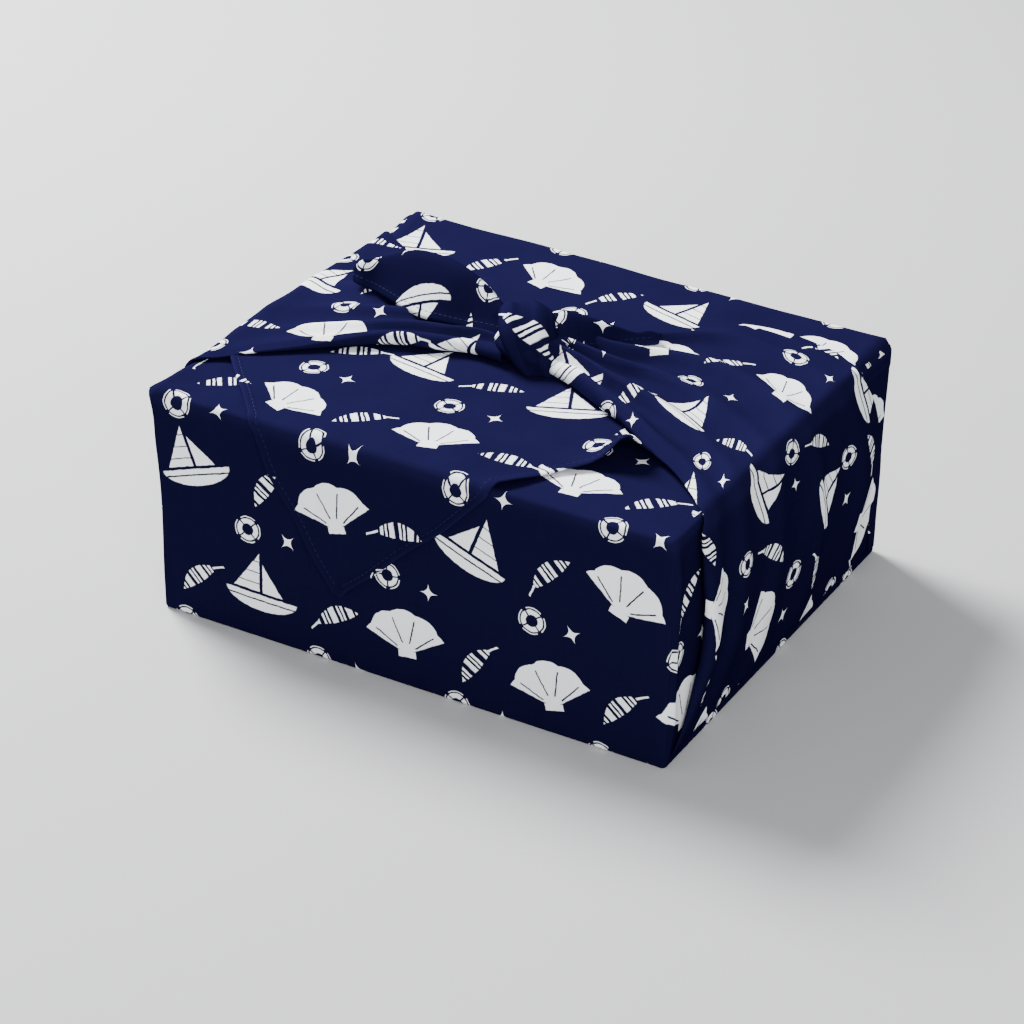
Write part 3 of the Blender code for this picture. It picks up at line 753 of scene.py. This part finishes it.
def make_knot_body():
    polar = np.linspace(-math.pi / 2 + 0.12, math.pi / 2 - 0.12, KNOT_ROWS)[:, None]
    turn = np.linspace(0, 2 * math.pi, KNOT_SIDES, endpoint=False)[None, :]
    lump = 1 + 0.05 * np.sin(3 * turn + 4 * polar)
    ball = np.stack([
        np.cos(polar) * np.cos(turn) * lump, np.cos(polar) * np.sin(turn) * lump,
        np.sin(polar) + 0 * turn,
    ], axis=-1)
    rings = KNOT_CENTRE + KNOT_RADII * ball
    around = np.linspace(0, 0.12, KNOT_SIDES + 1)[None, :] + 0 * polar + KNOT_PLACE[0]
    up = 0.018 * polar + 0 * around + KNOT_PLACE[1]
    cloth.solid(rings[:, ::-1], np.stack([around, up], axis=-1), 0.2)


make_strap()
make_knot_body()
print("with the knot:", cloth.count, "points")

# %% [markdown]
# ## The free ends
# The last 10 cm of each side corner sticks out of the knot, folded along its middle like
# a leaf and hemmed on both sides. Each row of the table gives the front hem, the crest
# and the back hem, and a smooth curve is run both along and across them.

# %% Free ends
TailRow = namedtuple("TailRow", "front crest back")
LEFT_TAIL = (
    TailRow((-0.010, -0.004, 0.134), (-0.008, 0.006, 0.142), (-0.004, 0.016, 0.136)),
    TailRow((-0.026, -0.003, 0.134), (-0.022, 0.007, 0.145), (-0.020, 0.019, 0.136)),
    TailRow((-0.038, -0.002, 0.132), (-0.033, 0.011, 0.151), (-0.033, 0.027, 0.133)),
    TailRow((-0.053, -0.001, 0.131), (-0.046, 0.014, 0.156), (-0.047, 0.033, 0.132)),
    TailRow((-0.065, 0.001, 0.130), (-0.060, 0.018, 0.157), (-0.062, 0.038, 0.131)),
    TailRow((-0.079, 0.006, 0.130), (-0.078, 0.022, 0.155), (-0.080, 0.041, 0.130)),
    TailRow((-0.091, 0.011, 0.130), (-0.091, 0.023, 0.150), (-0.094, 0.038, 0.130)),
    TailRow((-0.101, 0.015, 0.130), (-0.102, 0.022, 0.1450), (-0.104, 0.031, 0.130)),
    TailRow((-0.108, 0.015, 0.131), (-0.110, 0.0205, 0.1425), (-0.111, 0.027, 0.131)),
    TailRow((-0.113, 0.017, 0.131), (-0.1155, 0.0205, 0.1370), (-0.115, 0.024, 0.131)),
)
RIGHT_TAIL = (
    TailRow((0.004, -0.003, 0.133), (0.000, 0.010, 0.143), (-0.002, 0.021, 0.136)),
    TailRow((0.015, 0.000, 0.133), (0.009, 0.015, 0.146), (0.007, 0.029, 0.135)),
    TailRow((0.027, 0.009, 0.131), (0.020, 0.020, 0.1435), (0.018, 0.033, 0.132)),
    TailRow((0.034, 0.019, 0.130), (0.030, 0.026, 0.1395), (0.029, 0.035, 0.130)),
    TailRow((0.041, 0.029, 0.129), (0.039, 0.033, 0.1350), (0.037, 0.040, 0.128)),
    TailRow((0.046, 0.034, 0.129), (0.0445, 0.038, 0.1350), (0.043, 0.043, 0.128)),
    TailRow((0.050, 0.038, 0.129), (0.0495, 0.041, 0.1335), (0.048, 0.045, 0.129)),
)
TAIL_ROWS, TAIL_COLUMNS = 60, 36


def leaf_grid(tail):
    """A grid of points over a folded leaf, with rows across it."""
    flat = smooth_rows([row.front + row.crest + row.back for row in tail], TAIL_ROWS)
    return np.array([smooth_rows(row.reshape(3, 3), TAIL_COLUMNS) for row in flat])


def make_tail(tail, side):
    grid = leaf_grid(tail)
    if side < 0:
        grid = grid[:, ::-1]
    across, along = run_lengths(grid, 1), run_lengths(grid, 0)
    middle = across[:, -1:] / 2
    inset = np.minimum(across, across[:, -1:] - across)
    grid = grid + grid_normals(grid) * hem_profile(inset)[..., None]
    uv = np.stack([side * (0.10 + along.mean(axis=1, keepdims=True) + 0 * across),
                   across - middle], axis=-1)
    # The hemmed edges are paler: partly wear, partly painted highlight on the rolled hem.
    cloth.sheet(grid, uv, np.exp(-(inset / 0.0012) ** 2))
    return [line_at(grid, across, distance) for distance in
            (STITCH_INSET + 0 * middle, across[:, -1:] - STITCH_INSET)]


def line_at(grid, across, distance):
    """The line over a grid that keeps a distance from its first column."""
    keep = across[:, -1] > 4 * STITCH_INSET
    line = [
        [np.interp(d, run, row[:, axis]) for axis in range(3)]
        for row, run, d in zip(grid[keep], across[keep], distance[keep, 0])
    ]
    return np.array(line)


hem_paths = flap_hem_paths() + make_tail(LEFT_TAIL, -1) + make_tail(RIGHT_TAIL, 1)
furoshiki = cloth.make("furoshiki_cloth")
print("cloth:", len(furoshiki.data.polygons), "faces")

# %% [markdown]
# ## Sums on shader sockets
# A printed cloth needs a lot of shader maths. Written out as nodes it can't be read, so a
# small class wraps a socket and lets Python's own signs add the Math nodes, and one
# method adds any other node: its type, its settings, then its values and links.

# %% Shader sums
class Wire:
    """A socket that can be used in sums with other sockets and numbers."""

    def __init__(self, finish, socket):
        self.finish, self.socket = finish, socket

    def math(self, operation, *others, clamp=False):
        settings = {"operation": operation, "use_clamp": clamp}
        return self.finish.node("ShaderNodeMath", settings, dict(enumerate((self, *others))))

    def reversed_math(self, operation, other):
        return self.finish.node("ShaderNodeMath", {"operation": operation}, {0: other, 1: self})

    def __add__(self, other):
        return self.math("ADD", other)

    def __sub__(self, other):
        return self.math("SUBTRACT", other)

    def __rsub__(self, other):
        return self.reversed_math("SUBTRACT", other)

    def __mul__(self, other):
        return self.math("MULTIPLY", other)

    def __truediv__(self, other):
        return self.math("DIVIDE", other)

    def __pow__(self, other):
        return self.math("POWER", other)

    def __abs__(self):
        return self.math("ABSOLUTE")

    def __neg__(self):
        return self.math("MULTIPLY", -1.0)

    __radd__, __rmul__ = __add__, __mul__

    def both(self, *others):
        """The larger value, which is the overlap of two outlines."""
        result = self
        for other in others:
            result = result.math("MAXIMUM", other)
        return result

    def either(self, *others):
        """The smaller value, which is two outlines taken together."""
        result = self
        for other in others:
            result = result.math("MINIMUM", other)
        return result

    def without(self, other):
        return self.both(-other)


class Finish:
    """One material, and the one method that adds a node of any type to it."""

    def __init__(self, name):
        self.material = bpy.data.materials.new(name)
        self.material.use_nodes = True
        self.tree = self.material.node_tree
        self.shader = self.tree.nodes["Principled BSDF"]

    def node(self, kind, settings=None, values=None, output=0):
        node = self.tree.nodes.new(kind)
        for name, value in (settings or {}).items():
            setattr(node, name, value)
        self.fill(node, values or {})
        return Wire(self, node.outputs[output])

    def fill(self, node, values):
        for name, value in values.items():
            if isinstance(value, Wire):
                self.tree.links.new(value.socket, node.inputs[name])
            else:
                node.inputs[name].default_value = value

    def split(self, vector):
        return [
            self.node("ShaderNodeSeparateXYZ", None, {0: vector}, output=axis)
            for axis in range(3)
        ]

    def join(self, x, y, z=0.0):
        return self.node("ShaderNodeCombineXYZ", None, {0: x, 1: y, 2: z})

    def mix(self, factor, first, second):
        """Mixes two colours."""
        return self.node("ShaderNodeMix", {"data_type": "RGBA"},
                         {0: factor, 6: first, 7: second}, output=2)

    def noise(self, vector, scale, detail=2.0):
        return self.node("ShaderNodeTexNoise", None,
                         {"Vector": vector, "Scale": scale, "Detail": detail})


print("shader sums ready")

# %% [markdown]
# ## The print
# The cloth carries a small seaside print in off-white on navy: sailing boats and fan
# shells, striped leaves, ring buoys and little sparks. Each kind of motif has its own
# grid of cells over the cloth, and every second row of cells is shifted by half a cell,
# as in most printed cloth. A random number for each cell turns and shifts its motif. An
# outline is a distance in millimetres, below zero inside the ink, so shapes are joined
# with the smaller and cut with the larger of two distances.

# %% Print layout
CELL_U, CELL_V = 78.0, 60.0
INK_EDGE = 0.35
Layer = namedtuple("Layer", "u v turn spread wander seed size")
LARGE = Layer(0.0, 30.0, 0.0, 0.9, 5.0, 1.0, 0.88)
LEAVES = Layer(39.0, 28.0, 0.5, 1.0, 4.0, 2.0, 0.94)
RINGS = Layer(-9.0, 60.0, 0.0, 2.5, 3.0, 3.0, 0.80)
SPARKS = Layer(14.0, 59.0, 0.3, 1.2, 4.0, 4.0, 0.84)


def place_motif(finish, u, v, layer):
    """Turned coordinates in the nearest cell of a layer, in millimetres, and its luck."""
    from_v = v - (layer.v - CELL_V / 2)
    row = (from_v / CELL_V).math("FLOOR")
    from_u = u - (layer.u - CELL_U / 2) + row.math("FLOORED_MODULO", 2.0) * (CELL_U / 2)
    column = (from_u / CELL_U).math("FLOOR")
    luck = finish.node("ShaderNodeTexWhiteNoise", None,
                       {"Vector": finish.join(column, row, layer.seed)}, output=1)
    first, second, third = finish.split(luck)
    x = (from_u - (column + 0.5) * CELL_U + (second - 0.5) * layer.wander) / layer.size
    y = (from_v - (row + 0.5) * CELL_V + (third - 0.5) * layer.wander) / layer.size
    turn = (first - 0.5) * layer.spread + layer.turn
    across, up = turn.math("COSINE"), turn.math("SINE")
    flip = third.math("GREATER_THAN", 0.5) * 2.0 - 1.0
    return (x * across + y * up) * flip, y * across - x * up, second


def ink(distance):
    """From 0 outside an outline to 1 inside it, with a soft printed edge."""
    return (0.5 - distance / INK_EDGE).math("MULTIPLY", 1.0, clamp=True)


def boat(x, y):
    hull = (((x / 23.0) ** 2.0 + ((y + 5.0) / 10.0) ** 2.0).math("SQRT") - 1.0) * 10.0
    hull = hull.both(y + 5.0).without(abs(y + 8.5) - 0.5)
    main_sail = (1.0 - x).both(-3.0 - y, ((x - 1.0) / 17.0 + (y + 3.0) / 24.0 - 1.0) * 12.0)
    seams = abs((y + 3.0).math("FLOORED_MODULO", 7.0) - 5.0) - 0.35
    fore_sail = (x + 1.2).both(-3.0 - y, ((y + 3.0) / 18.0 - (x + 1.0) / 13.0 - 1.0) * 9.0)
    return hull.either(main_sail.without(seams), fore_sail)


def fan_shell(x, y):
    up = y + 14.0
    reach = (x ** 2.0 + up ** 2.0).math("SQRT")
    angle = x.math("ARCTAN2", up)
    scallop = abs((angle * 5.0).math("COSINE"))
    fan = (reach - 26.0 - scallop * 1.6).both((abs(angle) - 1.12) * reach * 0.7)
    ribs = (scallop * reach * 0.2 - 0.45).both(7.0 - reach, reach - 22.5)
    hinge = (abs(x) - 5.5).both(abs(up) - 2.0)
    return fan.without(ribs).either(hinge)


def striped_leaf(x, y, luck):
    bend = y + x ** 2.0 * 0.012
    blade = abs(bend) - 4.4 * (1.0 - (x / 14.5) ** 2.0)
    stem = (abs(bend) - 0.55).both(x - 19.0, 12.0 - x)
    bars = 0.9 - ((x * 1.7 + luck * 6.0 + (x * 0.6 + luck * 9.0).math("SINE") * 1.8)
                  .math("SINE") + 0.45)
    return blade.both(-bars * 0.8 + 0.35).either(stem)


def ring_buoy(x, y):
    reach = (x ** 2.0 + y ** 2.0).math("SQRT")
    angle = y.math("ARCTAN2", x)
    gaps = abs((angle * 2.0).math("SINE")) * reach * 0.5 - 0.55
    rope = (abs(reach - 8.6) - 0.3).both(3.0 - abs((angle * 2.0).math("SINE")) * reach)
    return (abs(reach - 5.6) - 1.6).without(gaps).either(rope)


def spark(x, y):
    return (abs(x).math("SQRT") + abs(y).math("SQRT")) ** 2.0 - 6.2


print("print cells of", CELL_U, "x", CELL_V, "mm")

# %% [markdown]
# ## Printed cotton
# Plain-weave cotton is matt: nearly no gloss, and a weave of about 20 threads to the
# centimetre that shows close up. Threads are uneven, so the navy is a little streaky both
# ways. It is paler along hems, folds and the box's edges: partly wear, and partly painted
# highlight where the cloth stands up in crests and ridges.
# The ink follows the same weave and is a touch uneven itself.

# %% Cotton
THREAD = 0.50
NAVY = (0.0048, 0.0041, 0.0230, 1.0)
# NAVY_PALE is the paler navy for the raised threads, for wear, and for painted highlight on
# crests, ridges and edges.
NAVY_PALE = (0.0076, 0.0066, 0.035, 1.0)
NAVY_DEEP = (0.0032, 0.0028, 0.0160, 1.0)
INK_WHITE = (0.91, 0.93, 0.96, 1.0)
INK_DULL = (0.80, 0.81, 0.83, 1.0)


def cotton_finish():
    finish = Finish("printed_cotton")
    place = finish.node("ShaderNodeUVMap", {"uv_map": "cloth"})
    place = finish.node("ShaderNodeVectorMath", {"operation": "SCALE"},
                        {0: place, "Scale": 1000.0})
    wobble = finish.node("ShaderNodeTexNoise", None,
                         {"Vector": place, "Scale": 0.35, "Detail": 2.0}, output=1)
    shaken = finish.node("ShaderNodeVectorMath", {"operation": "MULTIPLY_ADD"},
                         {0: wobble, 1: (0.9, 0.9, 0.0), 2: place})
    u, v, _ = finish.split(shaken)
    straight_u, straight_v, _ = finish.split(place)

    large_x, large_y, kind = place_motif(finish, u, v, LARGE)
    kind = kind.math("GREATER_THAN", 0.5)
    large = ink(boat(large_x, large_y)) * kind + ink(fan_shell(large_x, large_y)) * (1.0 - kind)
    leaf = ink(striped_leaf(*place_motif(finish, u, v, LEAVES)))
    ring = ink(ring_buoy(*place_motif(finish, u, v, RINGS)[:2]))
    small = ink(spark(*place_motif(finish, u, v, SPARKS)[:2]))
    printed = large.math("MAXIMUM", leaf).math("MAXIMUM", ring).math("MAXIMUM", small)

    warp = abs((straight_u * (math.pi / THREAD)).math("SINE"))
    weft = abs((straight_v * (math.pi / THREAD)).math("SINE"))
    over = ((straight_u * (math.pi / THREAD)).math("SINE")
            * (straight_v * (math.pi / THREAD)).math("SINE")).math("GREATER_THAN", 0.0)
    weave = warp * over + weft * (1.0 - over)
    long_u = finish.noise(finish.join(straight_u * 0.05, straight_v * 1.3), 1.0)
    long_v = finish.noise(finish.join(straight_u * 1.3, straight_v * 0.05), 1.0)
    streaks = long_u * over + long_v * (1.0 - over)
    cloud = finish.noise(place, 0.035, 3.0)
    # The wear value pales the navy: wear along hems and edges, and painted highlight on fold
    # crests, the band's ridges and the box's edges.
    worn_and_highlit = finish.node("ShaderNodeAttribute", {"attribute_name": "wear"}, output=2)
    rubbed_and_highlit = (worn_and_highlit * (0.25 + cloud * 0.9)).math("MULTIPLY", 1.0, clamp=True)

    base = finish.mix((streaks * 1.6 - 0.3).math("MULTIPLY", 1.0, clamp=True), NAVY_DEEP, NAVY)
    base = finish.mix(rubbed_and_highlit * 0.8 + weave * 0.10, base, NAVY_PALE)
    paint = finish.mix((streaks * 1.2 - 0.1 + cloud * 0.3).math("MULTIPLY", 1.0, clamp=True),
                       INK_DULL, INK_WHITE)
    colour = finish.mix(printed * (0.93 + weave * 0.07), base, paint)
    height = weave * 0.00003 + finish.noise(place, 0.12, 3.0) * 0.00030 + printed * 0.00001
    bump = finish.node("ShaderNodeBump", None,
                       {"Strength": 0.6, "Distance": 1.0, "Height": height})
    finish.fill(finish.shader, {
        "Base Color": colour, "Roughness": 0.82 + streaks * 0.12 - printed * 0.08,
        "Normal": bump, "Specular IOR Level": 0.0,
    })
    return finish.material


furoshiki.data.materials.append(cotton_finish())
print("cotton nodes:", len(furoshiki.data.materials[0].node_tree.nodes))

# %% [markdown]
# ## Hem stitches
# The hem is sewn with one row of navy thread, 3 mm from stitch to stitch. A stitch
# repeats along a path, so Geometry Nodes set it out: the path is cut at even steps, a
# short thick thread is put on each step and turned along the path.

# %% Stitch tree
def stitch_tree(thread):
    tree = bpy.data.node_groups.new("hem_stitches", "GeometryNodeTree")
    face = tree.interface
    face.new_socket("Geometry", in_out="INPUT", socket_type="NodeSocketGeometry")
    for name in ("Pitch", "Length", "Radius"):
        face.new_socket(name, in_out="INPUT", socket_type="NodeSocketFloat")
    face.new_socket("Geometry", in_out="OUTPUT", socket_type="NodeSocketGeometry")

    def node(kind, links=(), **settings):
        new = tree.nodes.new(kind)
        for name, value in settings.items():
            setattr(new, name, value)
        for socket, value in dict(links).items():
            if isinstance(value, bpy.types.NodeSocket):
                tree.links.new(value, new.inputs[socket])
            else:
                new.inputs[socket].default_value = value
        return new

    given = node("NodeGroupInput").outputs
    curve = node("GeometryNodeMeshToCurve", {"Mesh": given["Geometry"]})
    steps = node("GeometryNodeResampleCurve",
                 {"Curve": curve.outputs[0], "Length": given["Pitch"]}, mode="LENGTH")
    ball = node("GeometryNodeMeshUVSphere", {"Segments": 6, "Rings": 5, "Radius": 1.0})
    size = node("ShaderNodeCombineXYZ",
                {"X": given["Radius"], "Y": given["Radius"], "Z": given["Length"]})
    shaped = node("GeometryNodeTransform", {"Geometry": ball.outputs[0], "Scale": size.outputs[0]})
    tangent = node("GeometryNodeInputTangent")
    turned = node("FunctionNodeAlignRotationToVector", {"Vector": tangent.outputs[0]}, axis="Z")
    placed = node("GeometryNodeInstanceOnPoints", {
        "Points": steps.outputs[0], "Instance": shaped.outputs[0], "Rotation": turned.outputs[0],
    })
    real = node("GeometryNodeRealizeInstances", {"Geometry": placed.outputs[0]})
    done = node("GeometryNodeSetMaterial", {"Geometry": real.outputs[0], "Material": thread})
    node("NodeGroupOutput", {"Geometry": done.outputs[0]})
    return tree


# %% Stitches
STITCH_PITCH, STITCH_LENGTH, THREAD_RADIUS = 0.0030, 0.0011, 0.00020


def thread_finish():
    finish = Finish("navy_thread")
    place = finish.node("ShaderNodeTexCoord", output=3)
    twist = finish.noise(place, 3000.0)
    finish.fill(finish.shader, {
        "Base Color": finish.mix(twist, (0.0050, 0.0055, 0.034, 1.0), (0.0090, 0.010, 0.058, 1.0)),
        "Normal": finish.node("ShaderNodeBump", None,
                              {"Strength": 0.5, "Distance": 0.0001, "Height": twist}),
        "Roughness": 0.7, "Specular IOR Level": 0.1,
    })
    return finish.material


def make_stitches(paths):
    """One mesh of all the stitches, along every hem path."""
    points, edges = [], []
    for path in paths:
        edges += [(len(points) + i, len(points) + i + 1) for i in range(len(path) - 1)]
        points += path.tolist()
    mesh = bpy.data.meshes.new("hem_paths")
    mesh.from_pydata(points, edges, [])
    line = bpy.data.objects.new("hem_paths", mesh)
    bpy.context.scene.collection.objects.link(line)
    tree = stitch_tree(thread_finish())
    modifier = line.modifiers.new("stitches", "NODES")
    modifier.node_group = tree
    sizes = {"Pitch": STITCH_PITCH, "Length": STITCH_LENGTH, "Radius": THREAD_RADIUS}
    for socket in tree.interface.items_tree:
        if socket.name in sizes:
            modifier[socket.identifier] = sizes[socket.name]
    bpy.context.view_layer.update()
    evaluated = line.evaluated_get(bpy.context.evaluated_depsgraph_get())
    made = bpy.data.meshes.new_from_object(evaluated)
    made.name = "hem_stitches"
    bpy.data.objects.remove(line)
    made.shade_smooth()
    stitches = bpy.data.objects.new("hem_stitches", made)
    bpy.context.scene.collection.objects.link(stitches)
    return stitches


stitches = make_stitches(hem_paths)
print("stitches:", len(stitches.data.polygons), "faces on", len(hem_paths), "paths")

# %% [markdown]
# ## The box inside
# The board box doesn't show, but it is part of the model, so it gets a board's finish:
# grey-brown paper fibres that run one way, and a soft unevenness.

# %% Board
def board_finish():
    finish = Finish("plain_board")
    place = finish.node("ShaderNodeTexCoord", output=3)
    x, y, z = finish.split(place)
    fibres = finish.noise(finish.join(x * 60.0, y * 900.0, z * 900.0), 1.0, 4.0)
    cloud = finish.noise(place, 25.0)
    finish.fill(finish.shader, {
        "Base Color": finish.mix(fibres * 0.7 + cloud * 0.3, (0.50, 0.44, 0.36, 1.0),
                                 (0.68, 0.62, 0.53, 1.0)),
        "Normal": finish.node("ShaderNodeBump", None,
                              {"Strength": 0.3, "Distance": 0.0002, "Height": fibres}),
        "Roughness": 0.8, "Specular IOR Level": 0.3,
    })
    return finish.material


gift_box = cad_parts["gift_box"]
gift_box.data.materials.clear()
gift_box.data.materials.append(board_finish())

# %% [markdown]
# ## Floor and light
# The wrap stands on a plain pale floor under one broad soft light from the upper left,
# with a weaker one from the right, so that its folds show by their shade.

# %% Floor and lights
def add_floor():
    mesh = bpy.data.meshes.new("floor")
    size = 3.0
    mesh.from_pydata([(-size, -size, 0), (size, -size, 0), (size, size, 0), (-size, size, 0)],
                     [], [(0, 1, 2, 3)])
    floor = bpy.data.objects.new("floor", mesh)
    bpy.context.scene.collection.objects.link(floor)
    pale = bpy.data.materials.new("pale_floor")
    pale.use_nodes = True
    shader = pale.node_tree.nodes["Principled BSDF"]
    shader.inputs["Base Color"].default_value = (0.46, 0.46, 0.47, 1)
    shader.inputs["Roughness"].default_value = 0.9
    mesh.materials.append(pale)


def add_light(name, place, target, size, power):
    data = bpy.data.lights.new(name, "AREA")
    data.shape = "DISK"
    data.size = size
    data.energy = power
    light = bpy.data.objects.new(name, data)
    light.location = place
    way = Vector(target) - Vector(place)
    light.rotation_euler = way.to_track_quat("-Z", "Y").to_euler()
    bpy.context.scene.collection.objects.link(light)


add_floor()
add_light("window", (-1.3, 0.45, 1.45), (0, 0, 0.05), 0.9, 148)
add_light("room", (1.1, -1.6, 1.0), (0, 0, 0.05), 1.4, 42)
world = bpy.data.worlds.new("studio")
bpy.context.scene.world = world
world.use_nodes = True
world.node_tree.nodes["Background"].inputs["Color"].default_value = (0.82, 0.85, 0.90, 1)
world.node_tree.nodes["Background"].inputs["Strength"].default_value = 0.60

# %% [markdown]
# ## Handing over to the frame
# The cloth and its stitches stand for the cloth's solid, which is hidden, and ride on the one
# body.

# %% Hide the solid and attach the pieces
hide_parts("furoshiki")
for piece in (furoshiki, stitches):
    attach(piece, "root")
